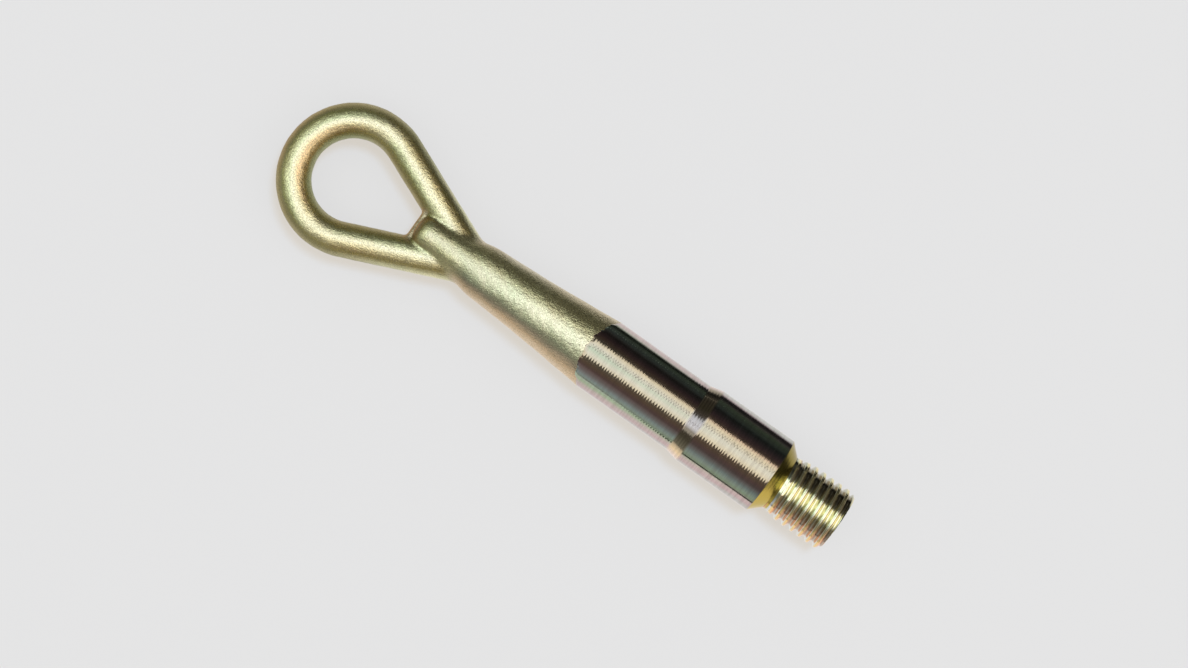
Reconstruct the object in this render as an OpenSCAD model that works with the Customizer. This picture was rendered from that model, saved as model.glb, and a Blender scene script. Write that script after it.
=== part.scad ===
// Screw-in tow eye: a closed eye, its arms and a tapering shank forged in one piece with a turned
// barrel, collar and stud. The axis of the stud is X, the eye lies flat in the XY plane, and the
// origin is on the axis where the full diameter of the stud starts.

/* [Eye] */
// Thickness of the round bar that forms the eye
bar_d = 9.45; // [8.5:0.05:10.4]
// Radius of the eye, to the middle of its bar
eye_r = 15.8; // [14.6:0.1:18]
// Angle between each arm of the eye and the axis
arm_angle = 23; // [20:0.5:27]
// Width of the straight end of the hole, where the web closes it
web_w = 7.4; // [5:0.1:9]

/* [Shank] */
// From the middle of the eye to the start of the stud
eye_to_stud = 138.1; // [126:0.1:170]
// Length of the rounded nose that rises from the web to the ridge
nose_len = 2.2; // [1.4:0.1:4]
// Width of the ridge behind its nose
ridge_w = 9.8; // [8.6:0.1:12]
// Height of the ridge behind its nose
ridge_h = 12.3; // [11:0.1:14]
// How fast each side of the ridge spreads, as the curve's rise over its length squared
ridge_flare = 0.007; // [0.004:0.0005:0.01]
// Width of the shank at its waist, behind the arms
waist_w = 15; // [13.6:0.1:17]
// From the web to the waist
waist_len = 22.5; // [19:0.1:27]
// How much narrower than tall the forging is where the turning starts
oval = 0.8; // [0.2:0.1:1.4]

/* [Turned end] */
// From the start of the stud back to the start of the turning, on top of the shank
turned_len = 63.4; // [55:0.1:75]
// Diameter of the barrel
barrel_d = 20.3; // [18.5:0.1:21.5]
// Length of the cone between the barrel and the collar
step_len = 3.7; // [1:0.1:6]
// Diameter of the collar
collar_d = 22; // [21:0.1:25]
// Length of the collar
collar_len = 22.6; // [15:0.1:30]
// Length of the shoulder cone, which seats in the mouth of the socket
shoulder_len = 3.3; // [1.5:0.1:5]
// Diameter of the neck between the shoulder and the stud
neck_d = 15.8; // [13:0.1:16.8]
// Length of the neck
neck_len = 0.6; // [0.3:0.1:2]
// Diameter of the stud, over its thread
stud_d = 17.8; // [17:0.1:19]
// Length of the stud, with its tip
stud_len = 17.7; // [12:0.1:30]
// Length of the bevel at the tip
tip_len = 1.3; // [0.5:0.1:2.5]
// Depth of the bevel at the tip
tip_depth = 1; // [0.4:0.1:2]

/* [Hidden] */
$fn = 96;

bar_r = bar_d / 2;
barrel_r = barrel_d / 2;

// The eye and its arms, all in the plane of the axis
eye_x = -eye_to_stud;
arms_meet = eye_r / sin(arm_angle); // from the middle of the eye
arm_len = eye_r / tan(arm_angle);
web_x = eye_x + (eye_r - bar_r - web_w / 2 * cos(arm_angle)) / sin(arm_angle);

// Stations of the forged shank
nose_x = web_x + nose_len;
waist_x = web_x + waist_len;
turned_x = -turned_len;

// How squarely the shank is crowned: an exponent of 2 is an oval, and more is flatter
ridge_square = 2.8;
barrel_square = 2.07;

// How the shank swells from its waist to the barrel, and in height from its nose to the barrel
width_swell = 1.35;
height_swell = 1.1;

// The nose starts as a blunt edge and runs a little way into the arms on either side
nose_blunt = 0.18;
nose_seat = 0.7;

// The blank is thicker than the collar, so that turning leaves none of its skin there
turning_stock = 1;
blank_swell = 8; // from the start of the turning to the full blank

// Fineness of the lofted shank
around = 64;
nose_steps = 7;
ridge_steps = 9;
swell_steps = 11;

function mix(a, b, t) = a + (b - a) * t;
function clamp(t) = min(1, max(0, t));
function soft_min(a, b, k) = min(a, b) - pow(max(k - abs(a - b), 0), 2) / (4 * k);

// Rounded rise of the nose, from its blunt edge at 0 to the full ridge at 1
function nose_rise(x) = let (t = clamp(mix(nose_blunt * nose_blunt / 2, 1, (x - web_x) / nose_len)))
    sqrt(1 - pow(1 - t, 2));

// Half width, half height and squareness of the forging at a place along the axis
function ridge_side(x) = ridge_w / 2 + ridge_flare * pow(max(0, x - nose_x), 2);
function shank_side(x) = mix(waist_w / 2, (barrel_d - oval) / 2,
    pow(max(0, x - waist_x) / (turned_x - waist_x), width_swell));
function full_side(x) = soft_min(ridge_side(x), shank_side(x), 0.6);
function half_w(x) = x < nose_x
    ? mix(web_w / 2 + nose_seat, full_side(nose_x), nose_rise(x))
    : full_side(x);
function half_h(x) = nose_rise(x)
    * mix(ridge_h / 2, barrel_r, pow(max(0, x - nose_x) / (turned_x - nose_x), height_swell));
function squareness(x) = mix(ridge_square, barrel_square,
    pow(clamp((x - nose_x) / (turned_x - nose_x)), 0.5));

// One section of the shank across the axis, as a superellipse
function signed_pow(v, e) = sign(v) * pow(abs(v), e);
function shank_ring(x, w, h, n) = [for (i = [0 : around - 1]) let (a = 360 * i / around)
    [x, w * signed_pow(cos(a), 2 / n), h * signed_pow(sin(a), 2 / n)]];

// Solid through a row of rings that have equally many points
module loft(rings) {
    count = len(rings[0]);
    last = len(rings) - 1;
    sides = [for (j = [0 : last - 1]) for (i = [0 : count - 1])
        let (a = j * count + i, b = j * count + (i + 1) % count)
        each [[a, a + count, b], [b, a + count, b + count]]];
    ends = [[for (i = [0 : count - 1]) i], [for (i = [count - 1 : -1 : 0]) last * count + i]];
    polyhedron(points = [for (ring = rings) each ring], faces = concat(sides, ends));
}

// Frame in which one arm leaves the ring along -Y, from a point on +X
module arm_frame() {
    translate([eye_x, 0, 0]) rotate([0, 0, 90 - arm_angle]) children();
}

// The eye: most of a ring, which ends where the arms leave it in line
module eye_ring() {
    arm_frame() rotate_extrude(angle = 180 + 2 * arm_angle)
        translate([eye_r, 0]) circle(d = bar_d);
}

// One of the two straight arms, which run together inside the shank
module arm() {
    arm_frame() translate([eye_r, 0, 0])
        rotate([90, 0, 0]) linear_extrude(arm_len) circle(d = bar_d);
}

// The shank as forged, from its nose at the web to past the tip of the stud
module forged_blank() {
    blank_r = max(collar_d, stud_d) / 2 + turning_stock;
    nose = [for (i = [0 : nose_steps - 1]) web_x + nose_len * pow(i / nose_steps, 1.7)];
    ridge = [for (i = [0 : ridge_steps - 1]) mix(nose_x, waist_x, i / ridge_steps)];
    swell = [for (i = [0 : swell_steps]) mix(waist_x, turned_x + blank_swell, i / swell_steps)];
    skin = [for (x = concat(nose, ridge, swell))
        shank_ring(x, half_w(x), half_h(x), squareness(x))];
    stock = [for (x = [turned_x + 1.5 * blank_swell, stud_len + turning_stock])
        shank_ring(x, blank_r, blank_r, 2)];
    loft(concat(skin, stock));
}

// What the lathe leaves: barrel, cone, collar, shoulder cone, neck and stud
module turned_outline() {
    collar_end = -neck_len - shoulder_len;
    barrel_end = collar_end - collar_len - step_len;
    rotate([0, 90, 0]) rotate_extrude() polygon([
        [0, web_x - 1],
        [barrel_r, web_x - 1],
        [barrel_r, barrel_end],
        [collar_d / 2, barrel_end + step_len],
        [collar_d / 2, collar_end],
        [neck_d / 2, -neck_len],
        [neck_d / 2, 0],
        [stud_d / 2, 0],
        [stud_d / 2, stud_len - tip_len],
        [stud_d / 2 - tip_depth, stud_len],
        [0, stud_len],
    ]);
}

module tow_eye() {
    color("darkkhaki") {
        eye_ring();
        arm();
        mirror([0, 1, 0]) arm();
        intersection() {
            forged_blank();
            turned_outline();
        }
    }
}

tow_eye();
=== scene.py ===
"""Looks of a screw-in tow eye: the forged eye and shank, the turned barrel and collar, the thread.

Lengths are in millimetres up to the point where a mesh is made, and in metres from there on.
X runs along the stud towards its tip, the eye lies flat in XY, and Z is up.
"""
import math

import bpy
import numpy as np
from mathutils import Matrix, Vector


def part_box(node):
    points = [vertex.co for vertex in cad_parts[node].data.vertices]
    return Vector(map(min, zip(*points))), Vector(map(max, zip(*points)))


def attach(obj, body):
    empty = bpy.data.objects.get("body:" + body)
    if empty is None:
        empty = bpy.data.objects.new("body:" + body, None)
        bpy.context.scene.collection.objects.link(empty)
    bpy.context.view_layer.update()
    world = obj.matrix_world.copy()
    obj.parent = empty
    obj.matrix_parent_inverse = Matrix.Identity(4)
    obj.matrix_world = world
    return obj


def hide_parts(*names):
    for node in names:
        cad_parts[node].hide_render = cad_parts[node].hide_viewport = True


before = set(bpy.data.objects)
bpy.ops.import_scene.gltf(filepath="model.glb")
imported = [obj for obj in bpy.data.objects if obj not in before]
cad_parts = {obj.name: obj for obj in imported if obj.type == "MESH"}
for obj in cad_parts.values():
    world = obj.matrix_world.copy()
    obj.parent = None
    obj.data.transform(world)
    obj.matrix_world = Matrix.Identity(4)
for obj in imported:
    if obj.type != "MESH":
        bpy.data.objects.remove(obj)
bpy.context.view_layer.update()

MM = 0.001

# Eye and arms, the same sizes as in the solid
BAR_R = 9.45 / 2
EYE_R = 15.8
EYE_X = -138.1
ARM_ANGLE = math.radians(23)
ARM_LENGTH = EYE_R / math.tan(ARM_ANGLE)
WEB_W = 7.4
WEB_X = EYE_X + (EYE_R - BAR_R - WEB_W / 2 * math.cos(ARM_ANGLE)) / math.sin(ARM_ANGLE)

# Forged shank, the same sizes as in the solid, but for a slightly rounder crown
NOSE_LENGTH = 2.2
NOSE_SEAT = 0.7
NOSE_X = WEB_X + NOSE_LENGTH
RIDGE_W = 9.8
RIDGE_H = 12.3
RIDGE_FLARE = 0.007
WAIST_W = 15.0
WAIST_X = WEB_X + 22.5
OVAL = 0.8
RIDGE_SQUARE = 2.5
BARREL_SQUARE = 2.02
WIDTH_SWELL = 1.35
HEIGHT_SWELL = 1.1

# Rounding of the forging, which the solid lacks
NOSE_BACK = 0.7  # from the web to the start of the nose
NOSE_ROUND = 4.4  # length of the nose's rounded end
NOSE_OVER = 1.1  # height of that end against the ridge's, which it runs under
NOSE_SIDE = 0.8  # how much it rounds off towards its sides
NOSE_EDGE = 1.2  # softness of the edge between nose and ridge
WEB_HALF_HEIGHT = 2.6
WEB_EDGE = 0.8
CROTCH_FILLET = 0.9

# Turned end
TURNED_X = -63.4
BARREL_R = 20.3 / 2
COLLAR_R = 11.0
NECK_R = 7.9
NECK_X = -0.6
COLLAR_END = NECK_X - 3.3
STEP_END = COLLAR_END - 22.6
STEP_START = STEP_END - 3.7

# Thread, M18 x 2.5, right-handed
PITCH = 2.5
CREST_R = 8.9
ROOT_R = 7.72
CREST_FLAT = 0.72
CREST_AT = 0.05
STUD_END = 17.7
TIP_LENGTH = 1.3
TIP_DEPTH = 1.0

# Fineness of the meshes
FORGED_CELL = 0.42
TURNED_AROUND = 288
THREAD_AROUND = 128
ROWS_PER_TURN = 28
SEAM_MERGE = 0.002

# Plain colours of the finishes, with painted light and shade in some of them
PIT_COLOUR = (0.38, 0.36, 0.24, 1)
# Pink of the web's rim, lightened with painted light
WEB_PINK_AND_PAINTED_LIGHT = (1.0, 0.82, 0.74, 1)
STEEL = (0.50, 0.475, 0.49, 1)
# Steel lightened towards the outline: a painted sheen
STEEL_WITH_PAINTED_SHEEN = (0.61, 0.58, 0.60, 1)
TOOL_LINE = (0.2, 0.17, 0.14, 1)
CONE_YELLOW = (0.56, 0.44, 0.09, 1)
# The cone's yellow, darkened for its upper side: painted shade
CONE_YELLOW_IN_PAINTED_SHADE = (0.32, 0.25, 0.05, 1)
END_FACE = (0.86, 0.80, 0.60, 1)

# Between these places along X the ridge's film, darkened by painted shade, clears to that of the
# shank
RIDGE_SHADE_START = -100
RIDGE_SHADE_END = -80

# Camera
VIEW_WIDTH = 312.6
VIEW_MIDDLE = (-63.16, 3.58)
VIEW_TURN = math.radians(35.3)
LENS = 100.0
SENSOR = 36.0

# Lights, in metres on the picture's own axes from the middle of the part: name, left and right,
# bottom and top, and radiance of the soft boxes, and name, place, size and radiance of the panels
OVERHEAD_Z = 1.2
OVERHEAD = (
    ("key_upper", (-1.15, 0.55), (0.168, 0.58), 1.42),
    ("key_lower", (-1.15, 0.55), (-0.46, 0.128), 1.42),
    ("key_back", (-1.50, -0.45), (0.58, 1.30), 0.6),
    ("key_right", (0.58, 1.60), (-1.00, 0.35), 1.42),
    ("key_front", (0.05, 0.62), (-1.20, -0.50), 0.6),
)
PANELS = (
    ("left_panel", (-1.75, 0.1, 0.6), (1.3, 1.1), 0.4),
    ("right_panel", (1.25, -1.35, 0.8), (1.0, 1.0), 0.5),
)
SUN_ENERGY = 4.5
SUN_ANGLE = math.radians(12)
SUN_COLOUR = (0.36, 0.62, 1.0)
SUN_TILT = (math.radians(-13), math.radians(4), 0)

# Surroundings, in metres
PALE = 0.768
FLOOR_REACH = 3.0
FLOOR_GREY = (0.30, 0.30, 0.30, 1)
FLOOR_GLOW = (0.910, 0.851, 0.770, 1)
FLOOR_GLOW_SHARE = 0.65
FLOOR_BY_EYE = (0.40, 0.39, 0.34, 1)


# Skin of the forging, as distances from any place in space

def soft_min(a, b, reach):
    return np.minimum(a, b) - np.maximum(reach - np.abs(a - b), 0) ** 2 / (4 * reach)


def soft_max(a, b, reach):
    return -soft_min(-a, -b, reach)


def mix(a, b, t):
    return a + (b - a) * t


def bar_distance(x, y, z):
    """Distance to the round bar: a ring whose two arms leave it in line and meet on the axis."""
    sine, cosine = math.sin(ARM_ANGLE), math.cos(ARM_ANGLE)
    from_eye, aside = x - EYE_X, np.abs(y)
    along_arm = from_eye * cosine - aside * sine
    off_ring = np.hypot(from_eye, aside) - EYE_R
    off_arm = from_eye * sine + aside * cosine - EYE_R
    flat = np.where(along_arm < 0, off_ring, off_arm)
    past_end = np.maximum(along_arm - ARM_LENGTH, 0)
    return np.sqrt(flat ** 2 + z ** 2 + past_end ** 2) - BAR_R


def shank_half_width(x):
    ridge = RIDGE_W / 2 + RIDGE_FLARE * np.maximum(0, x - NOSE_X) ** 2
    swell = (np.maximum(0, x - WAIST_X) / (TURNED_X - WAIST_X)) ** WIDTH_SWELL
    full = soft_min(ridge, mix(WAIST_W / 2, BARREL_R - OVAL / 2, swell), 0.6)
    into_nose = np.clip((NOSE_X - x) / NOSE_LENGTH, 0, 1)
    return full - (RIDGE_W - WEB_W - 2 * NOSE_SEAT) / 2 * into_nose ** 2


def shank_half_height(x):
    swell = (np.maximum(0, x - NOSE_X) / (TURNED_X - NOSE_X)) ** HEIGHT_SWELL
    return mix(RIDGE_H / 2, BARREL_R, swell)


def nose_distance(x, y, z, width, height):
    """Distance to the rounded nose of the shank: an ellipsoid's end, which starts at the web."""
    back = np.maximum(WEB_X + NOSE_BACK + NOSE_ROUND - x, 0)
    across = y * NOSE_SIDE / width
    high = z / (height * NOSE_OVER)
    size = np.sqrt((back / NOSE_ROUND) ** 2 + across ** 2 + high ** 2 + 1e-9)
    slope = np.sqrt((back / NOSE_ROUND ** 2) ** 2 + (across * NOSE_SIDE / width) ** 2
                    + (high / (height * NOSE_OVER)) ** 2 + 1e-9) / size
    return (size - 1) / slope


def shank_distance(x, y, z):
    """Distance to the shank, whose sections across X are superellipses; good close to its skin."""
    width, height = shank_half_width(x), shank_half_height(x)
    square = mix(RIDGE_SQUARE, BARREL_SQUARE,
                 np.sqrt(np.clip((x - NOSE_X) / (TURNED_X - NOSE_X), 0, 1)))
    wide = (np.abs(y) / width) ** square
    high = (np.abs(z) / height) ** square
    size = (wide + high + 1e-9) ** (1 / square)
    slope_y = wide / np.maximum(np.abs(y), 1e-3)
    slope_z = high / np.maximum(np.abs(z), 1e-3)
    side = (size - 1) / (np.hypot(slope_y, slope_z) * size ** (1 - square) + 1e-6)
    nose = soft_max(side, nose_distance(x, y, z, width, height), NOSE_EDGE)
    nose = soft_max(nose, WEB_X + NOSE_BACK - x, WEB_EDGE)
    web = np.maximum(np.abs(y) - WEB_W / 2 - 1, x - WEB_X - 6)
    web = np.maximum(web, soft_max(np.abs(z) - WEB_HALF_HEIGHT, WEB_X - x, 2 * WEB_EDGE))
    return soft_min(nose, web, 0.3)


def forge_unevenness(x, y, z):
    """Slow waves that a die and the blasting leave in a forged skin."""
    slow = (np.sin(0.71 * x + 1.13 * y + 0.4) + np.sin(0.93 * y - 0.47 * x + 1.21 * z)
            + np.sin(1.37 * z + 0.33 * x + 2.1) + 0.7 * np.sin(1.7 * x + 1.9 * y - 1.5 * z))
    quick = np.sin(3.9 * x + 2.7 * y - 3.1 * z) + np.sin(4.4 * y - 2.3 * x + 2.9 * z)
    return 0.014 * slow + 0.007 * quick


def forged_skin(x, y, z):
    """Distance to the forging before it is turned."""
    joined = soft_min(bar_distance(x, y, z), shank_distance(x, y, z), CROTCH_FILLET)
    return joined + forge_unevenness(x, y, z) + 0.03


def forged_part(x, y, z):
    """Distance to what is left of the forging: its skin, and a core under the turned barrel."""
    under_barrel = 0.02
    ahead = np.maximum(TURNED_X - 5 - x, 0)
    turned_away = np.hypot(y, z) - (BARREL_R - under_barrel) - ahead
    return np.maximum(forged_skin(x, y, z), np.maximum(turned_away, x - (TURNED_X + 6)))


# Meshes

def surface_net(distance, low, high, cell):
    """Points and quads over the zero level of a distance function."""
    grid = np.meshgrid(*[np.arange(a, b + cell, cell) for a, b in zip(low, high)], indexing="ij")
    values = distance(*grid)
    cells = tuple(n - 1 for n in values.shape)
    total = np.zeros((*cells, 3))
    hits = np.zeros(cells)
    crossings = []
    for axis in range(3):
        near = np.delete(values, -1, axis)
        far = np.delete(values, 0, axis)
        crossed = (near < 0) != (far < 0)
        part_way = np.where(crossed, near / np.where(crossed, near - far, 1), 0)
        crossings.append((crossed, near < 0))
        u, v = [k for k in range(3) if k != axis]
        for side_u in (0, 1):
            for side_v in (0, 1):
                window = [slice(None)] * 3
                window[u] = slice(side_u, side_u + cells[u])
                window[v] = slice(side_v, side_v + cells[v])
                hit = crossed[tuple(window)]
                hits += hit
                total[..., axis] += part_way[tuple(window)]
                total[..., u] += hit * side_u
                total[..., v] += hit * side_v
    used = hits > 0
    number = np.full(cells, -1)
    number[used] = np.arange(used.sum())
    points = (np.argwhere(used) + total[used] / hits[used][:, None]) * cell + np.array(low)
    quads = []
    for axis, (crossed, from_inside) in enumerate(crossings):
        step_u, step_v = [np.eye(3, dtype=int)[k] for k in range(3) if k != axis]
        at = np.argwhere(crossed)
        corners = [0 * step_u, step_u, step_u + step_v, step_v]
        ring = np.stack([number[tuple((at - corner).T)] for corner in corners], 1)
        turned_back = from_inside[crossed] == (axis == 1)
        ring[turned_back] = ring[turned_back][:, ::-1]
        quads.append(ring)
    return points, np.concatenate(quads)


def onto_skin(distance, points, rounds=4, step=0.01):
    """Moves points along the slope of a distance function until they lie on its zero level."""
    for _ in range(rounds):
        slope = np.stack([distance(*(points + shift).T) - distance(*(points - shift).T)
                          for shift in step * np.eye(3)], 1) / (2 * step)
        steep = np.maximum((slope ** 2).sum(1), 0.3)
        points = points - (distance(*points.T) / steep)[:, None] * slope
    return points


def new_piece(name, points, faces, material):
    """A smooth mesh object at the origin, from points in millimetres."""
    mesh = bpy.data.meshes.new(name)
    mesh.from_pydata((np.asarray(points) * MM).tolist(), [], [list(face) for face in faces])
    mesh.polygons.foreach_set("use_smooth", [True] * len(mesh.polygons))
    mesh.materials.append(material)
    mesh.update()
    piece = bpy.data.objects.new(name, mesh)
    bpy.context.scene.collection.objects.link(piece)
    return piece


def forged_piece(material):
    """Eye, arms, web and shank, forged as one."""
    margin = 3 * FORGED_CELL
    low = (EYE_X - EYE_R - BAR_R - margin, -EYE_R - BAR_R - margin, -BARREL_R - margin)
    high = (TURNED_X + 6 + margin, EYE_R + BAR_R + margin, BARREL_R + margin)
    points, quads = surface_net(forged_part, low, high, FORGED_CELL)
    points = onto_skin(forged_part, points)
    return new_piece("forged_eye_and_shank", points, quads.tolist(), material)


def rounded(corners, steps=5, support=0.05):
    """Outline (x, radius) through corners (x, radius, rounding), with an arc at each of them."""
    outline = []
    for before, here, after in zip(corners, corners[1:], corners[2:]):
        corner = np.array(here[:2])
        back = np.array(before[:2]) - corner
        onward = np.array(after[:2]) - corner
        back, onward = back / np.linalg.norm(back), onward / np.linalg.norm(onward)
        half = math.acos(np.clip(back @ onward, -1, 1)) / 2
        reach = here[2] / math.tan(half)
        middle = corner + (back + onward) / np.linalg.norm(back + onward) * here[2] / math.sin(half)
        start, end = corner + back * reach - middle, corner + onward * reach - middle
        swing = math.acos(np.clip(start @ end / here[2] ** 2, -1, 1))
        outline.append(corner + back * (reach + support))
        for t in np.linspace(0, 1, steps):
            ends = np.sin((1 - t) * swing) * start + np.sin(t * swing) * end
            outline.append(middle + ends / math.sin(swing))
        outline.append(corner + onward * (reach + support))
    return outline


def turning_starts(angles):
    """Where the barrel's surface comes out of the forged skin, at each angle around the axis."""
    low = np.full(len(angles), TURNED_X - 4.0)
    high = np.full(len(angles), TURNED_X + 12.0)
    for _ in range(30):
        middle = (low + high) / 2
        outside = forged_skin(middle, BARREL_R * np.cos(angles), BARREL_R * np.sin(angles)) > 0
        low = np.where(outside, middle, low)
        high = np.where(outside, high, middle)
    return high


def turned_piece(material):
    """Barrel, step, collar, shoulder cone and neck, as the lathe leaves them."""
    angles = np.linspace(0, 2 * math.pi, TURNED_AROUND, endpoint=False)
    starts = turning_starts(angles)
    full_from = starts.max() + 1
    rows = [(starts - 0.3, BARREL_R - 0.08)]
    for t in np.linspace(0, 1, 6):
        rows.append((mix(starts, full_from, t), BARREL_R))
    outline = rounded([
        (full_from, BARREL_R), (STEP_START, BARREL_R, 1.2), (STEP_END, COLLAR_R, 0.8),
        (COLLAR_END, COLLAR_R, 0.18), (NECK_X, NECK_R, 0.15), (0.4, NECK_R, 0.2), (0.6, 4.0)])
    rows += [(np.full(TURNED_AROUND, x), radius) for x, radius in outline]
    points = []
    for x, radius in rows:
        points.append(np.stack([x, radius * np.cos(angles), radius * np.sin(angles)], 1))
    points = np.concatenate(points)
    ends = [[starts.max(), 0, 0], [outline[-1][0], 0, 0]]
    centre = len(points)
    last = (len(rows) - 1) * TURNED_AROUND
    faces = []
    for i in range(TURNED_AROUND):
        j = (i + 1) % TURNED_AROUND
        for row in range(len(rows) - 1):
            a, b = row * TURNED_AROUND, (row + 1) * TURNED_AROUND
            faces.append((a + i, a + j, b + j, b + i))
        faces.append((j, i, centre))
        faces.append((last + i, last + j, centre + 1))
    return new_piece("turned_barrel_and_collar", np.concatenate([points, ends]), faces, material)


class Nodes:
    """Writes a node tree. An input is a plain value or the output that feeds it."""

    def __init__(self, tree):
        self.tree = tree

    def feed(self, socket, value):
        """Links an output to a socket, or sets the socket to a plain value."""
        if isinstance(value, bpy.types.NodeSocket):
            self.tree.links.new(value, socket)
        else:
            socket.default_value = value

    def add(self, kind, inputs=None, **settings):
        node = self.tree.nodes.new(kind)
        for name, value in settings.items():
            setattr(node, name, value)
        for key, value in (inputs or {}).items():
            self.feed(node.inputs[key], value)
        return node

    def math(self, operation, *values, clamp=False):
        inputs = dict(enumerate(values))
        return self.add("ShaderNodeMath", inputs, operation=operation, use_clamp=clamp).outputs[0]

    def ramp(self, value, stops):
        """Colour ramp through stops (place, colour)."""
        node = self.add("ShaderNodeValToRGB", {"Fac": value})
        marks = node.color_ramp.elements
        while len(marks) < len(stops):
            marks.new(0.5)
        for mark, (place, colour) in zip(marks, stops):
            mark.position = place
            mark.color = (*colour, 1)
        return node.outputs["Color"]

    def mix_colour(self, factor, a, b, blend="MIX"):
        inputs = {0: factor, 6: a, 7: b}
        return self.add("ShaderNodeMix", inputs, data_type="RGBA", blend_type=blend).outputs[2]

    def times(self, a, b):
        return self.mix_colour(1.0, a, b, blend="MULTIPLY")

    def fade(self, value, start, end, low=0.0, high=1.0):
        """Goes evenly from low to high while value goes from start to end, and is level beyond."""
        ends = {"Value": value, "From Min": start, "From Max": end, "To Min": low, "To Max": high}
        return self.add("ShaderNodeMapRange", ends).outputs[0]

    def split(self, vector):
        return self.add("ShaderNodeSeparateXYZ", {0: vector}).outputs


def new_group(name, kind, inputs, outputs):
    """An empty node group with named sockets: its writer, its inputs and its outputs."""
    tree = bpy.data.node_groups.new(name, kind)
    for label, socket, value in inputs:
        made = tree.interface.new_socket(label, in_out="INPUT", socket_type=socket)
        if value is not None:
            made.default_value = value
    for label, socket in outputs:
        tree.interface.new_socket(label, in_out="OUTPUT", socket_type=socket)
    nodes = Nodes(tree)
    return nodes, nodes.add("NodeGroupInput").outputs, nodes.add("NodeGroupOutput").inputs


# Thread

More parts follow.
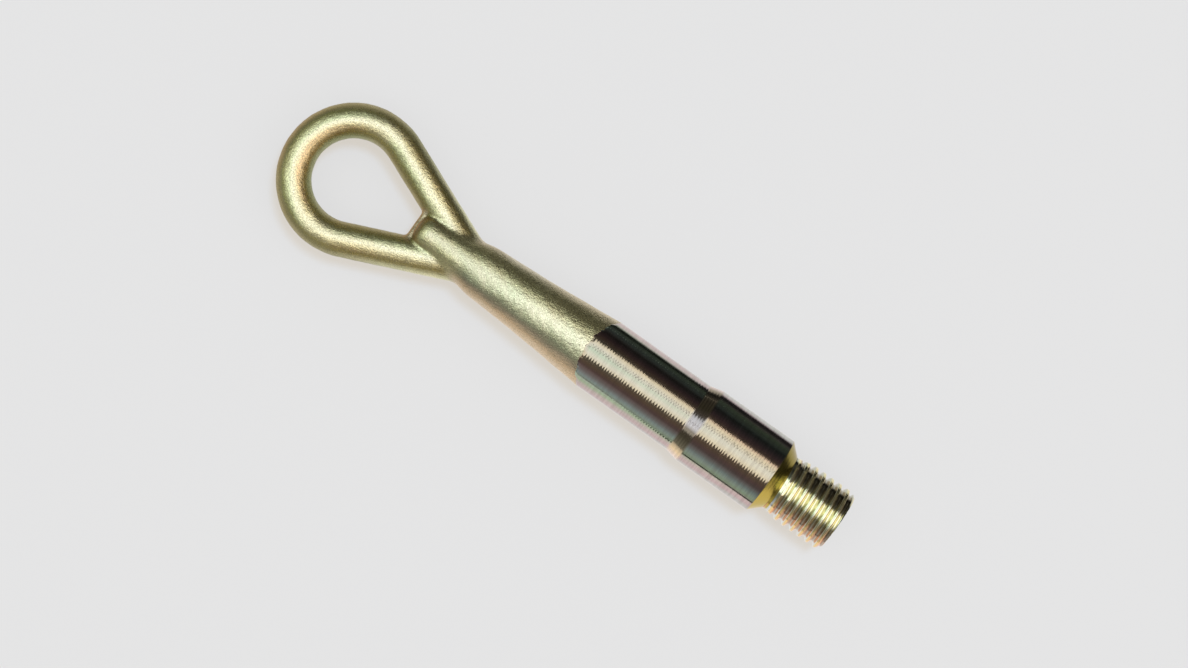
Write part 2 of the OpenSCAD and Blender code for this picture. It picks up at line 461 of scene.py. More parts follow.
def thread_tree():
    """Geometry nodes: a grid sheared along the helix, wrapped round the axis and closed."""
    length = "NodeSocketFloat"
    nodes, given, out = new_group("helical thread", "GeometryNodeTree", [
        ("Pitch", length, PITCH * MM),
        ("Crest Radius", length, CREST_R * MM),
        ("Root Radius", length, ROOT_R * MM),
        ("Crest Flat", length, CREST_FLAT * MM),
        ("Crest Place", length, CREST_AT * MM),
        ("Start", length, NECK_X * MM),
        ("End", length, STUD_END * MM),
        ("Start Radius", length, 8.0 * MM),
        ("Seam Depth", length, 0.09 * MM),
        ("Run-out", length, 5.5 * MM),
        ("Tip Length", length, TIP_LENGTH * MM),
        ("Tip Depth", length, TIP_DEPTH * MM),
        ("Around", "NodeSocketInt", THREAD_AROUND),
        ("Rows per Turn", "NodeSocketInt", ROWS_PER_TURN),
        ("Material", "NodeSocketMaterial", None),
    ], [("Geometry", "NodeSocketGeometry")])
    math_ = nodes.math
    pitch, start, end = given["Pitch"], given["Start"], given["End"]
    row = math_("DIVIDE", pitch, given["Rows per Turn"])

    # Whole turns of rows, with one and a half to spare at each end for the shear and the end faces
    turns = math_("ADD", math_("CEIL", math_("DIVIDE", math_("SUBTRACT", end, start), pitch)), 4)
    rows = math_("MULTIPLY", turns, given["Rows per Turn"])
    grid = nodes.add("GeometryNodeMeshGrid", {
        "Size X": math_("MULTIPLY", turns, pitch), "Size Y": 1.0,
        "Vertices X": math_("ADD", rows, 1), "Vertices Y": math_("ADD", given["Around"], 1)})
    place = nodes.split(nodes.add("GeometryNodeInputPosition").outputs[0])
    share = place["Y"]
    lead = math_("MULTIPLY", share, pitch)
    halfway = math_("MULTIPLY", math_("ADD", start, end), 0.5)
    whole_turns = math_("SNAP", math_("SUBTRACT", halfway, given["Crest Place"]), pitch)
    middle = math_("ADD", whole_turns, given["Crest Place"])
    along = math_("ADD", math_("ADD", place["X"], middle), lead)
    x = math_("MINIMUM", math_("MAXIMUM", along, start), end)

    # Profile across one turn: a flat crest, flanks at 60 degrees and a rounded root
    unwound = math_("SUBTRACT", math_("SUBTRACT", x, lead), given["Crest Place"])
    phase = math_("DIVIDE", unwound, pitch)
    off_crest = math_("SUBTRACT", math_("FRACT", math_("ADD", phase, 0.5)), 0.5)
    from_crest = math_("MULTIPLY", math_("ABSOLUTE", off_crest), pitch)
    down = math_("SUBTRACT", from_crest, math_("MULTIPLY", given["Crest Flat"], 0.5))
    flank = math_("SUBTRACT", given["Crest Radius"], math_("MULTIPLY", down, math.sqrt(3)))
    groove = math_("SMOOTH_MAX", flank, given["Root Radius"], 0.3 * MM)

    # The bar that the thread is cut in: it grows out of the neck and is bevelled at the tip
    grown = nodes.add("ShaderNodeMapRange", {
        "Value": x, "From Min": start, "From Max": math_("ADD", start, given["Run-out"]),
        "To Min": given["Start Radius"], "To Max": given["Crest Radius"]},
        interpolation_type="SMOOTHSTEP").outputs[0]
    into_tip = math_("DIVIDE", math_("SUBTRACT", math_("ADD", x, given["Tip Length"]), end),
                     given["Tip Length"], clamp=True)
    bar = math_("SUBTRACT", grown, math_("MULTIPLY", into_tip, given["Tip Depth"]))
    rounded_edge = math_("SMOOTH_MIN", groove, bar, 0.12 * MM)

    # The seam that rolling leaves along the middle of the crest
    beside = math_("DIVIDE", from_crest, math_("DIVIDE", pitch, given["Rows per Turn"]))
    seam = math_("MULTIPLY", math_("SUBTRACT", 1, beside, clamp=True), given["Seam Depth"])
    edge = math_("SUBTRACT", rounded_edge, seam)

    # Past either end the rows run in over a flat face to the axis
    before = math_("SUBTRACT", math_("SUBTRACT", start, along), row)
    after = math_("SUBTRACT", math_("SUBTRACT", along, end), row)
    past = math_("MAXIMUM", math_("MAXIMUM", before, after), 0)
    closing = math_("SUBTRACT", 1, math_("DIVIDE", past, math_("MULTIPLY", pitch, 0.7)), clamp=True)
    radius = math_("MULTIPLY", edge, closing)
    angle = math_("MULTIPLY", share, 2 * math.pi)
    wrapped = nodes.add("ShaderNodeCombineXYZ", {
        "X": x, "Y": math_("MULTIPLY", radius, math_("COSINE", angle)),
        "Z": math_("MULTIPLY", radius, math_("SINE", angle))}).outputs[0]
    shaped = nodes.add("GeometryNodeSetPosition", {
        "Geometry": grid.outputs["Mesh"], "Position": wrapped})
    closed = nodes.add("GeometryNodeMergeByDistance", {
        "Geometry": shaped.outputs[0], "Distance": SEAM_MERGE * MM})
    outward = nodes.add("GeometryNodeFlipFaces", {"Mesh": closed.outputs[0]})
    smooth = nodes.add("GeometryNodeSetShadeSmooth", {"Geometry": outward.outputs[0]})
    sharp = math_("GREATER_THAN", nodes.add("GeometryNodeInputMeshEdgeAngle").outputs[0],
                  math.radians(50))
    crisp = nodes.add("GeometryNodeSetShadeSmooth", {
        "Geometry": smooth.outputs[0], "Selection": sharp, "Shade Smooth": False}, domain="EDGE")
    single = nodes.add("GeometryNodeRealizeInstances", {"Geometry": crisp.outputs[0]})
    nodes.feed(out["Geometry"], nodes.add("GeometryNodeSetMaterial", {
        "Geometry": single.outputs[0], "Material": given["Material"]}).outputs[0])
    return nodes.tree


def threaded_piece(material):
    """The stud with its helical thread, from the neck to the bevelled tip."""
    tree = thread_tree()
    piece = bpy.data.objects.new("threaded_stud", bpy.data.meshes.new("threaded_stud"))
    bpy.context.scene.collection.objects.link(piece)
    modifier = piece.modifiers.new("thread", "NODES")
    modifier.node_group = tree
    sockets = {item.name: item.identifier for item in tree.interface.items_tree
               if item.in_out == "INPUT"}
    modifier[sockets["Pitch"]] = PITCH * MM
    modifier[sockets["Around"]] = THREAD_AROUND
    modifier[sockets["Material"]] = material
    made = piece.evaluated_get(bpy.context.evaluated_depsgraph_get())
    mesh = bpy.data.meshes.new_from_object(made)
    piece.modifiers.remove(modifier)
    piece.data = mesh
    return piece


# Finishes

def film_group():
    """Colours of the chromate film, which turn with its thickness and the surface's slant."""
    nodes, given, out = new_group("chromate film", "ShaderNodeTree", [
        ("Thickness", "NodeSocketFloat", 0.2),
        ("Slant", "NodeSocketFloat", 0.0),
        ("Patch Size", "NodeSocketFloat", 0.02),
        ("Patchiness", "NodeSocketFloat", 0.2),
        ("Seed", "NodeSocketFloat", 0.0),
    ], [("Tint", "NodeSocketColor")])
    place = nodes.add("ShaderNodeTexCoord").outputs["Object"]
    patches = nodes.add("ShaderNodeTexNoise", {
        "Vector": place, "W": given["Seed"], "Scale": nodes.math("DIVIDE", 1, given["Patch Size"]),
        "Detail": 2.0, "Roughness": 0.5}, noise_dimensions="4D").outputs["Fac"]
    spread = nodes.math("MULTIPLY", nodes.math("SUBTRACT", patches, 0.5), given["Patchiness"])
    order = nodes.math("ADD", nodes.math("ADD", given["Thickness"], given["Slant"]), spread)
    tint = nodes.ramp(order, [
        (0.00, (0.74, 0.92, 0.68)),
        (0.14, (0.95, 0.95, 0.74)),
        (0.27, (0.97, 0.86, 0.56)),
        (0.37, (0.95, 0.68, 0.44)),
        (0.46, (0.84, 0.56, 0.50)),
        (0.56, (0.68, 0.60, 0.56)),
        (0.66, (0.62, 0.80, 0.72)),
        (0.80, (0.64, 0.88, 0.58)),
        (0.88, (0.94, 0.86, 0.78)),
        (0.94, (0.97, 0.80, 0.78)),
        (1.00, (0.86, 0.91, 0.84)),
    ])
    nodes.feed(out["Tint"], tint)
    return nodes.tree


def grain_group():
    """Fine dimples that blasting leaves in a forged skin."""
    nodes, given, out = new_group("blasted grain", "ShaderNodeTree", [
        ("Grain Size", "NodeSocketFloat", 0.0004),
    ], [("Height", "NodeSocketFloat"), ("Pits", "NodeSocketFloat")])
    place = nodes.add("ShaderNodeTexCoord").outputs["Object"]
    scale = nodes.math("DIVIDE", 1, given["Grain Size"])
    fine = nodes.add("ShaderNodeTexNoise", {
        "Vector": place, "Scale": scale, "Detail": 3.0, "Roughness": 0.65}).outputs["Fac"]
    broad = nodes.add("ShaderNodeTexNoise", {
        "Vector": place, "Scale": nodes.math("MULTIPLY", scale, 0.3), "Detail": 1.0}).outputs["Fac"]
    nodes.feed(out["Height"], nodes.math("ADD", fine, nodes.math("MULTIPLY", broad, 0.8)))
    nodes.feed(out["Pits"], nodes.fade(fine, 0.56, 0.36))
    return nodes.tree


def lathe_group():
    """Fine rings that the tool leaves round the axis, uneven in depth."""
    nodes, given, out = new_group("lathe rings", "ShaderNodeTree", [
        ("Feed", "NodeSocketFloat", 0.0003),
    ], [
        ("Height", "NodeSocketFloat"),
        ("Streaks", "NodeSocketFloat"),
        ("Lines", "NodeSocketFloat"),
    ])
    place = nodes.add("ShaderNodeTexCoord").outputs["Object"]
    squeeze = nodes.add("ShaderNodeMapping", {
        "Vector": place, "Scale": (1.0, 0.02, 0.02)}).outputs[0]
    scale = nodes.math("DIVIDE", 1, given["Feed"])
    fine = nodes.add("ShaderNodeTexNoise", {
        "Vector": squeeze, "Scale": scale, "Detail": 2.0, "Roughness": 0.6}).outputs["Fac"]
    wide = nodes.math("MULTIPLY", scale, 0.22)
    broad = nodes.add("ShaderNodeTexNoise", {
        "Vector": squeeze, "Scale": wide, "Detail": 1.0}).outputs["Fac"]
    x = nodes.split(place)["X"]
    turns = nodes.math("ADD", nodes.math("MULTIPLY", x, scale), nodes.math("MULTIPLY", broad, 1.2))
    wave = nodes.math("SINE", nodes.math("MULTIPLY", turns, 2 * math.pi))
    uneven = nodes.math("MULTIPLY", wave, nodes.math("MULTIPLY", fine, 0.9))
    nodes.feed(out["Height"], nodes.math("ADD", uneven, nodes.math("MULTIPLY", fine, 0.5)))
    nodes.feed(out["Streaks"], nodes.fade(broad, 0.35, 0.65))
    nodes.feed(out["Lines"], nodes.fade(fine, 0.38, 0.6))
    return nodes.tree


def new_metal(name):
    """A material with a plain metallic shader, to be fed by its own nodes."""
    material = bpy.data.materials.new(name)
    material.use_nodes = True
    nodes = Nodes(material.node_tree)
    shader = material.node_tree.nodes["Principled BSDF"]
    shader.inputs["Metallic"].default_value = 1.0
    return material, nodes, shader.inputs


def slant_sine(nodes):
    """Sine of the angle at which the surface is seen: 0 face on and 1 at its outline."""
    facing = nodes.add("ShaderNodeLayerWeight", {"Blend": 0.5}).outputs["Facing"]
    cosine = nodes.math("SUBTRACT", 1, facing)
    return nodes.math("SQRT", nodes.math("SUBTRACT", 1, nodes.math("POWER", cosine, 2), clamp=True))


def film_tint(nodes, group, thickness, slant, patch_size, patchiness, seed):
    """Colour of the film, from its own group; patch_size is in millimetres."""
    placed = nodes.add("ShaderNodeGroup", {
        "Thickness": thickness, "Slant": slant, "Patch Size": patch_size * MM,
        "Patchiness": patchiness, "Seed": seed}, node_tree=group)
    return placed.outputs["Tint"]


def add_bump(nodes, shader, depth, height):
    """Roughens the shader's normal by a height map that is depth millimetres deep."""
    bump = nodes.add("ShaderNodeBump", {"Strength": 1.0, "Distance": depth * MM, "Height": height})
    nodes.feed(shader["Normal"], bump.outputs[0])


def shank_tone_and_painted_shade(nodes, slant, x, behind, upward):
    """How the film darkens and warms on the shank, all painted shade: pink-brown below, olive
    above, paler again at the outline as a painted reflection, and dimmer on the ridge near the
    nose.
    """
    lower = nodes.ramp(slant, [
        (0.00, (1.00, 0.99, 1.00)),
        (0.35, (0.74, 0.74, 0.61)),
        (0.50, (0.58, 0.57, 0.48)),
        (0.64, (0.52, 0.44, 0.39)),
        (0.80, (0.62, 0.48, 0.39)),
        (1.00, (0.84, 0.69, 0.61)),
    ])
    upper = nodes.ramp(slant, [
        (0.00, (1.00, 0.99, 1.00)),
        (0.35, (0.96, 0.89, 0.66)),
        (0.55, (0.80, 0.75, 0.51)),
        (0.75, (0.62, 0.59, 0.42)),
        (0.90, (0.56, 0.50, 0.42)),
        (1.00, (0.76, 0.68, 0.62)),
    ])
    # Painted shade: the darker upper copy, also on both flanks of the ridge towards the nose
    film = nodes.mix_colour(nodes.math("MAXIMUM", upward, behind), lower, upper)
    # Painted shade: dimmer on the ridge towards the nose
    return nodes.times(film, nodes.fade(x, RIDGE_SHADE_START * MM, RIDGE_SHADE_END * MM, 0.88, 1.0))


def nose_painted_shade_and_rim(nodes, x, aside, film):
    """The film with what changes at the nose: a pink rim on the web, lightened with painted light,
    and a dark band of painted shade on the nose's steep front behind it.
    """
    past_web = nodes.fade(x, (WEB_X - 1) * MM, (WEB_X + 4) * MM)
    on_nose = nodes.fade(aside, (WEB_W / 2 + 1.4) * MM, (WEB_W / 2 + 0.4) * MM)
    # Painted shade: a dark band on the nose's steep front, pinkish over the web
    shade = nodes.ramp(past_web, [
        (0.00, (1.00, 1.00, 1.00)),
        (0.10, (0.85, 0.64, 0.58)),
        (0.46, (0.74, 0.57, 0.51)),
        (0.52, (0.48, 0.45, 0.33)),
        (0.68, (0.78, 0.76, 0.60)),
        (0.85, (1.00, 1.00, 1.00)),
    ])
    # Painted light: where the rim is, the film turns to a lighter pink
    rim = nodes.ramp(past_web, [
        (0.04, (0.0, 0.0, 0.0)),
        (0.14, (1.0, 1.0, 1.0)),
        (0.44, (1.0, 1.0, 1.0)),
        (0.54, (0.0, 0.0, 0.0)),
    ])
    shaded = nodes.mix_colour(on_nose, film, nodes.times(film, shade))
    on_rim = nodes.math("MULTIPLY", nodes.math("MULTIPLY", rim, on_nose), 0.85)
    return nodes.mix_colour(on_rim, shaded, WEB_PINK_AND_PAINTED_LIGHT)


def forged_finish_and_shading(film_tree, grain_tree):
    """Yellow film over a blasted forging: satin, golden on the eye and greener on the shank,
    darkened by painted shade on its slopes and upper side and paled by painted reflection at its
    outline.
    """
    material, nodes, shader = new_metal("chromate_and_painted_shading_on_forging")
    coordinates = nodes.add("ShaderNodeTexCoord").outputs
    normal = nodes.split(coordinates["Normal"])
    axes = nodes.split(coordinates["Object"])
    x = axes["X"]
    aside = nodes.math("ABSOLUTE", axes["Y"])
    slant = slant_sine(nodes)

    # The film turns orange towards the stud and green away from it, but not on steep slopes
    fading = nodes.fade(slant, 0.45, 0.8, 0.7, -0.16)
    lean = nodes.math("MINIMUM", nodes.math("MULTIPLY", normal["X"], fading), 0.18)
    tint = film_tint(nodes, film_tree, 0.16, nodes.math("MAXIMUM", lean, -0.10), 14, 0.14, 1.0)

    # The eye is all that lies before the nose, and the arms on either side of the ridge
    # Painted shade: the eye's colour darkens on its slopes, and a painted reflection pales it at
    # the outline
    eye_tone_and_painted_shade = nodes.ramp(slant, [
        (0.00, (1.00, 1.00, 0.97)),
        (0.35, (1.00, 0.95, 0.74)),
        (0.60, (0.62, 0.56, 0.30)),
        (0.70, (0.50, 0.46, 0.28)),
        (0.80, (0.56, 0.52, 0.36)),
        (0.93, (0.92, 0.85, 0.70)),
        (1.00, (1.00, 0.94, 0.86)),
    ])
    before_nose = nodes.fade(x, (NOSE_X + 1) * MM, (WEB_X - 2) * MM)
    behind = nodes.fade(x, (WAIST_X - 3) * MM, (WAIST_X - 9) * MM)
    along = nodes.math("MAXIMUM", nodes.math("SUBTRACT", x, NOSE_X * MM), 0)
    flare = nodes.math("MULTIPLY", nodes.math("POWER", along, 2), RIDGE_FLARE / MM)
    on_arm = nodes.fade(nodes.math("SUBTRACT", aside, flare),
                        (RIDGE_W / 2 - 0.2) * MM, (RIDGE_W / 2 + 0.8) * MM)
    on_eye = nodes.math("MAXIMUM", before_nose, nodes.math("MULTIPLY", on_arm, behind))
    upward = nodes.fade(normal["Y"], -0.2, 0.2)
    film = nodes.mix_colour(on_eye, shank_tone_and_painted_shade(nodes, slant, x, behind, upward), eye_tone_and_painted_shade)
    film = nodes.times(tint, nose_painted_shade_and_rim(nodes, x, aside, film))

    grain = nodes.add("ShaderNodeGroup", {"Grain Size": 0.42 * MM}, node_tree=grain_tree).outputs
    nodes.feed(shader["Base Color"], nodes.mix_colour(
        nodes.math("MULTIPLY", grain["Pits"], 0.5), film, PIT_COLOUR))
    nodes.feed(shader["Roughness"], nodes.math("MULTIPLY_ADD", grain["Pits"], 0.12, 0.27))
    add_bump(nodes, shader, 0.13, grain["Height"])
    return material


def step_tone_and_painted_light(nodes, slant, upward):
    """The film on the step, which lacks the barrel's green: white on top as a painted highlight,
    brown at its sides as painted shade that is darker on the upper side, and a painted reflection
    along the lower outline.
    """
    lower = nodes.ramp(slant, [
        (0.10, (0.46, 0.45, 0.47)),
        (0.22, (0.42, 0.41, 0.42)),
        (0.30, (0.17, 0.15, 0.12)),
        (0.44, (0.26, 0.22, 0.15)),
        (0.72, (0.36, 0.33, 0.22)),
        (0.86, (0.95, 0.76, 0.46)),
        (1.00, (0.96, 0.80, 0.70)),
    ])
    upper = nodes.ramp(slant, [
        (0.06, (0.44, 0.44, 0.47)),
        (0.22, (0.32, 0.32, 0.33)),
        (0.30, (0.26, 0.22, 0.18)),
        (0.44, (0.17, 0.15, 0.09)),
        (0.72, (0.28, 0.24, 0.18)),
        (0.92, (0.34, 0.28, 0.20)),
        (1.00, (0.80, 0.64, 0.60)),
    ])
    return nodes.mix_colour(upward, lower, upper)


def turned_finish_and_shading(film_tree, lathe_tree):
    """The film over turned steel: bright, ringed, with a painted sheen towards its outline and
    painted light and shade on the step, and thick and yellow on the shoulder cone, with painted
    shade on the cone's upper side.
    """
    material, nodes, shader = new_metal("chromate_and_painted_shading_on_turning")
    coordinates = nodes.add("ShaderNodeTexCoord").outputs
    x = nodes.split(coordinates["Object"])["X"]
    upward = nodes.fade(nodes.split(coordinates["Normal"])["Y"], -0.1, 0.1)
    slant = slant_sine(nodes)
    thickness = nodes.fade(x, -60 * MM, -6 * MM, 0.02, 0.10)
    turning = nodes.math("MULTIPLY", slant, 0.95)
    tint = film_tint(nodes, film_tree, thickness, turning, 18, 0.10, 4.0)
    rings = nodes.add("ShaderNodeGroup", {"Feed": 0.8 * MM}, node_tree=lathe_tree).outputs

    on_cone = nodes.fade(x, (COLLAR_END - 0.15) * MM, (COLLAR_END + 0.1) * MM)
    from_step = nodes.math("ABSOLUTE", nodes.math("SUBTRACT", x, (STEP_START + STEP_END) / 2 * MM))
    on_step = nodes.fade(from_step, 2.3 * MM, 1.5 * MM)
    # Painted sheen: the steel is lighter towards the outline
    steel = nodes.mix_colour(nodes.fade(slant, 0.55, 0.75), STEEL, STEEL_WITH_PAINTED_SHEEN)
    film = nodes.mix_colour(on_step, nodes.times(tint, steel), step_tone_and_painted_light(nodes, slant, upward))
    lined = nodes.math("MULTIPLY_ADD", rings["Lines"], -0.22, 0.22)
    film = nodes.mix_colour(lined, film, TOOL_LINE)
    # Painted shade: the cone is olive on its upper side
    cone_film_and_shade = nodes.mix_colour(upward, CONE_YELLOW, CONE_YELLOW_IN_PAINTED_SHADE)
    nodes.feed(shader["Base Color"], nodes.mix_colour(on_cone, film, cone_film_and_shade))

    rough = nodes.math("MULTIPLY_ADD", rings["Streaks"], 0.05, 0.09)
    rough = nodes.math("ADD", rough, nodes.math("MULTIPLY", on_step, 0.05))
    nodes.feed(shader["Roughness"], nodes.math("ADD", rough, nodes.math("MULTIPLY", on_cone, 0.06)))
    smoother = nodes.math("MAXIMUM", on_cone, nodes.math("MULTIPLY", on_step, 0.4))
    ring_depth = nodes.math("MULTIPLY_ADD", smoother, -0.8, 1.0)
    add_bump(nodes, shader, 0.018, nodes.math("MULTIPLY", rings["Height"], ring_depth))
    return material


def thread_finish_and_shading(film_tree):
    """The film on the thread: green and cream beside the crest, blue-grey in the root, with a
    painted highlight along the top, thin dark lines and darker roots of painted shade, and painted
    shade over the upper side.
    """
    material, nodes, shader = new_metal("chromate_and_painted_shading_on_thread")
    axes = nodes.split(nodes.add("ShaderNodeTexCoord").outputs["Object"])
    turn = nodes.math("DIVIDE", nodes.math("ARCTAN2", axes["Z"], axes["Y"]), 2 * math.pi)
    turns = nodes.math("DIVIDE", nodes.math("SUBTRACT", axes["X"], CREST_AT * MM), PITCH * MM)
    wound = nodes.math("SUBTRACT", turns, turn)
    across = nodes.math("FRACT", nodes.math("ADD", wound, 0.5))
    # Painted highlight along the top, with thin dark lines of painted shade at the flanks' edges
    top_with_painted_highlight = nodes.ramp(across, [
        (0.00, (0.86, 0.84, 0.66)),
        (0.10, (0.90, 0.90, 0.72)),
        (0.13, (0.50, 0.47, 0.32)),
        (0.17, (0.84, 0.90, 0.66)),
        (0.33, (0.82, 0.92, 0.68)),
        (0.36, (0.52, 0.52, 0.36)),
        (0.39, (0.80, 0.93, 0.74)),
        (0.49, (0.84, 0.96, 0.80)),
        (0.51, (1.00, 0.95, 0.82)),
        (0.62, (1.00, 0.94, 0.80)),
        (0.65, (0.55, 0.47, 0.30)),
        (0.69, (0.95, 0.84, 0.60)),
        (0.84, (0.93, 0.82, 0.58)),
        (0.88, (0.50, 0.45, 0.30)),
        (0.92, (0.86, 0.84, 0.66)),
    ])
    # Lower side: rust and blue-grey film, with painted shade in the roots
    below = nodes.ramp(across, [
        (0.00, (0.46, 0.42, 0.38)),
        (0.15, (0.66, 0.72, 0.78)),
        (0.34, (0.74, 0.80, 0.86)),
        (0.42, (0.90, 0.76, 0.46)),
        (0.60, (0.94, 0.70, 0.36)),
        (0.68, (0.92, 0.50, 0.26)),
        (0.84, (0.86, 0.42, 0.24)),
        (0.94, (0.46, 0.38, 0.32)),
    ])
    # Painted shade: a darker copy for the upper side
    above = nodes.ramp(across, [
        (0.00, (0.34, 0.32, 0.26)),
        (0.30, (0.50, 0.52, 0.44)),
        (0.42, (0.88, 0.80, 0.54)),
        (0.62, (0.90, 0.80, 0.52)),
        (0.74, (0.56, 0.42, 0.32)),
        (0.94, (0.34, 0.30, 0.26)),
    ])
    at_sides = nodes.mix_colour(nodes.fade(axes["Y"], -1 * MM, 1 * MM), below, above)
    off_top = nodes.math("ARCTAN2", nodes.math("ABSOLUTE", axes["Y"]),
                         nodes.math("ABSOLUTE", axes["Z"]))
    to_side = nodes.fade(off_top, math.radians(15), math.radians(36))
    on_end = nodes.fade(axes["X"], (STUD_END - 0.06) * MM, (STUD_END - 0.02) * MM)
    film = nodes.mix_colour(on_end, nodes.mix_colour(to_side, top_with_painted_highlight, at_sides), END_FACE)
    tint = film_tint(nodes, film_tree, 0.16, 0.0, 3.0, 0.30, 7.0)
    nodes.feed(shader["Base Color"], nodes.mix_colour(0.45, film, tint, blend="MULTIPLY"))
    shader["Roughness"].default_value = 0.13

    # Faint lines that run along with the thread
    along = nodes.add("ShaderNodeCombineXYZ", {"X": nodes.math("MULTIPLY", wound, PITCH * MM)})
    lines = nodes.add("ShaderNodeTexNoise", {
        "Vector": along.outputs[0], "Scale": 1 / (0.35 * MM), "Detail": 1.0})
    add_bump(nodes, shader, 0.006, lines.outputs["Fac"])
    return material


# Studio, in metres

def photo_camera():
    """Straight down on the part with a long lens, turned so that the stud points down and right."""
    data = bpy.data.cameras.new("camera")
    data.lens = LENS
    data.sensor_width = SENSOR
    camera = bpy.data.objects.new("camera", data)
    height = VIEW_WIDTH * LENS / SENSOR
    camera.location = (VIEW_MIDDLE[0] * MM, VIEW_MIDDLE[1] * MM, height * MM)
    camera.rotation_euler = (0, 0, VIEW_TURN)
    bpy.context.scene.collection.objects.link(camera)
    bpy.context.scene.camera = camera


def soft_light(name, centre, size, radiance, aim):
    """An area light at centre that faces aim and is as bright as radiance all over."""
    data = bpy.data.lights.new(name, "AREA")
    data.shape = "RECTANGLE"
    data.size, data.size_y = size
    data.energy = radiance * math.pi * size[0] * size[1]
    light = bpy.data.objects.new(name, data)
    bpy.context.scene.collection.objects.link(light)
    light.location = centre
    away = light.location - aim
    light.rotation_euler = away.to_track_quat("Z", "Y").to_euler()
    light.visible_camera = False
    return light


def studio_lights():
    """Soft boxes overhead, two weak panels at the sides, and a sun for the shadow on the floor."""
    middle = Vector((VIEW_MIDDLE[0] * MM, 0, 0))
    turn = Matrix.Rotation(VIEW_TURN, 4, "Z")
    for name, (left, right), (bottom, top), radiance in OVERHEAD:
        size = (right - left, top - bottom)
        light = soft_light(name, middle + Vector((0, 0, OVERHEAD_Z)), size, radiance, middle)
        light.matrix_world = Matrix.Translation(middle) @ turn @ Matrix.Translation(
            ((left + right) / 2, (bottom + top) / 2, OVERHEAD_Z))
    data = bpy.data.lights.new("floor_sun", "SUN")
    data.energy = SUN_ENERGY
    data.angle = SUN_ANGLE
    data.color = SUN_COLOUR
    sun = bpy.data.objects.new("floor_sun", data)
    bpy.context.scene.collection.objects.link(sun)
    sun.rotation_euler = SUN_TILT
    sun.visible_glossy = False
    for name, place, size, radiance in PANELS:
        soft_light(name, middle + turn @ Vector(place), size, radiance, middle)


def studio_world():
    """An even pale world, which the part mirrors as dim walls that darken towards +Y and +X."""
    world = bpy.data.worlds.new("studio")
    bpy.context.scene.world = world
    world.use_nodes = True
    nodes = Nodes(world.node_tree)
    path = nodes.add("ShaderNodeLightPath").outputs
    towards = nodes.split(nodes.add("ShaderNodeTexCoord").outputs["Generated"])
    sides = nodes.ramp(nodes.math("MULTIPLY_ADD", towards["Y"], 0.5, 0.5), [
        (0.00, (0.58, 0.56, 0.56)),
        (0.03, (0.40, 0.40, 0.39)),
        (0.07, (0.29, 0.29, 0.28)),
        (0.10, (0.17, 0.165, 0.155)),
        (0.30, (0.15, 0.145, 0.14)),
        (0.50, (0.10, 0.095, 0.09)),
        (0.78, (0.085, 0.085, 0.085)),
        (0.88, (0.05, 0.047, 0.05)),
        (0.97, (0.018, 0.018, 0.016)),
        (0.99, (0.05, 0.05, 0.045)),
    ])
    ends = nodes.ramp(nodes.math("MULTIPLY_ADD", towards["X"], 0.5, 0.5), [
        (0.00, (0.16, 0.15, 0.13)),
        (0.78, (0.15, 0.14, 0.12)),
        (0.90, (0.06, 0.055, 0.05)),
        (1.00, (0.05, 0.045, 0.04)),
    ])
    lengthwise = nodes.fade(nodes.math("ABSOLUTE", towards["X"]), 0.15, 0.5)
    walls = nodes.mix_colour(lengthwise, sides, ends)
    mirrored = nodes.math("MAXIMUM", path["Is Glossy Ray"], path["Is Transmission Ray"])
    nodes.feed(world.node_tree.nodes["Background"].inputs["Color"],
               nodes.mix_colour(mirrored, (PALE, PALE, PALE, 1), walls))


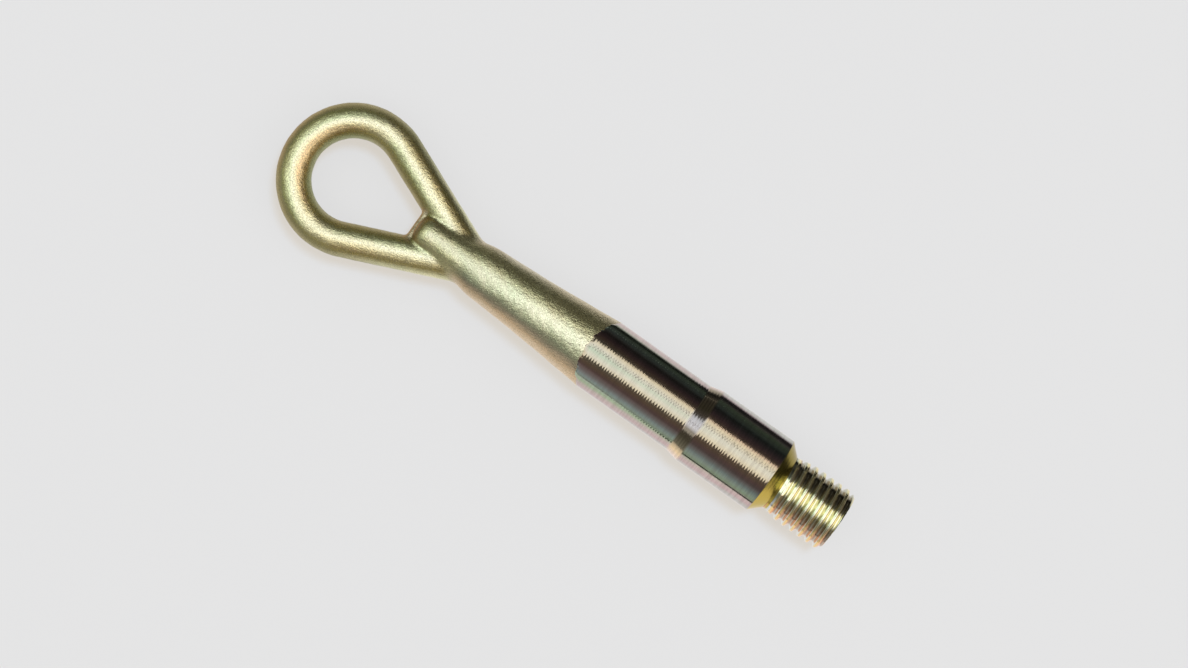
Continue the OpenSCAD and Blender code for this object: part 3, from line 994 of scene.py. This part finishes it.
def mirrored_floor(nodes):
    """Colour of the floor as the part mirrors it: a pale strip, with a dark line on either side."""
    axes = nodes.split(nodes.add("ShaderNodeTexCoord").outputs["Object"])
    below = nodes.math("MULTIPLY", nodes.math("MINIMUM", axes["Y"], 0),
                       nodes.fade(axes["X"], -0.040, -0.030, 0.35, 1.0))
    above = nodes.math("MULTIPLY", nodes.math("MAXIMUM", axes["Y"], 0),
                       nodes.fade(axes["X"], -0.034, -0.028, 0.80, 1.0))
    level = nodes.math("ADD", above, below)
    across = nodes.ramp(nodes.math("MULTIPLY_ADD", level, 2.0, 0.5), [
        (0.270, (0.52, 0.50, 0.48)),
        (0.290, (0.015, 0.015, 0.015)),
        (0.350, (0.015, 0.015, 0.015)),
        (0.362, (0.98, 0.88, 0.86)),
        (0.530, (0.86, 0.84, 0.82)),
        (0.548, (0.82, 0.82, 0.80)),
        (0.566, (0.015, 0.015, 0.015)),
        (0.600, (0.015, 0.015, 0.015)),
        (0.660, (0.06, 0.06, 0.055)),
    ])
    return nodes.mix_colour(nodes.fade(axes["X"], -0.105, -0.125), across, FLOOR_BY_EYE)


def studio_floor(height):
    """A pale floor that keeps the part's shadow and is mirrored in colours of its own."""
    mesh = bpy.data.meshes.new("floor")
    corners = [(-1, -1), (1, -1), (1, 1), (-1, 1)]
    mesh.from_pydata([(x * FLOOR_REACH, y * FLOOR_REACH, height) for x, y in corners], [],
                     [(0, 1, 2, 3)])
    floor = bpy.data.objects.new("floor", mesh)
    bpy.context.scene.collection.objects.link(floor)
    material = bpy.data.materials.new("pale_floor")
    material.use_nodes = True
    nodes = Nodes(material.node_tree)
    shader = nodes.tree.nodes["Principled BSDF"]
    shader.inputs["Base Color"].default_value = FLOOR_GREY
    shader.inputs["Roughness"].default_value = 0.9
    shader.inputs["Specular IOR Level"].default_value = 0.1
    path = nodes.add("ShaderNodeLightPath").outputs
    flat = nodes.add("ShaderNodeEmission", {"Color": FLOOR_GLOW})
    shaded = nodes.add("ShaderNodeMixShader", {
        0: FLOOR_GLOW_SHARE, 1: shader.outputs[0], 2: flat.outputs[0]})
    mirrored = nodes.add("ShaderNodeEmission", {"Color": mirrored_floor(nodes)})
    final = nodes.add("ShaderNodeMixShader", {
        0: path["Is Glossy Ray"], 1: shaded.outputs[0], 2: mirrored.outputs[0]})
    nodes.feed(nodes.tree.nodes["Material Output"].inputs["Surface"], final.outputs[0])
    mesh.materials.append(material)


def main():
    bpy.context.scene.view_settings.view_transform = "Standard"
    floor_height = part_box("tow_eye")[0].z
    film_tree = film_group()
    pieces = [
        forged_piece(forged_finish_and_shading(film_tree, grain_group())),
        turned_piece(turned_finish_and_shading(film_tree, lathe_group())),
        threaded_piece(thread_finish_and_shading(film_tree)),
    ]
    for piece in pieces:
        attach(piece, "root")
        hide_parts("tow_eye")
    photo_camera()
    studio_lights()
    studio_world()
    studio_floor(floor_height)


main()
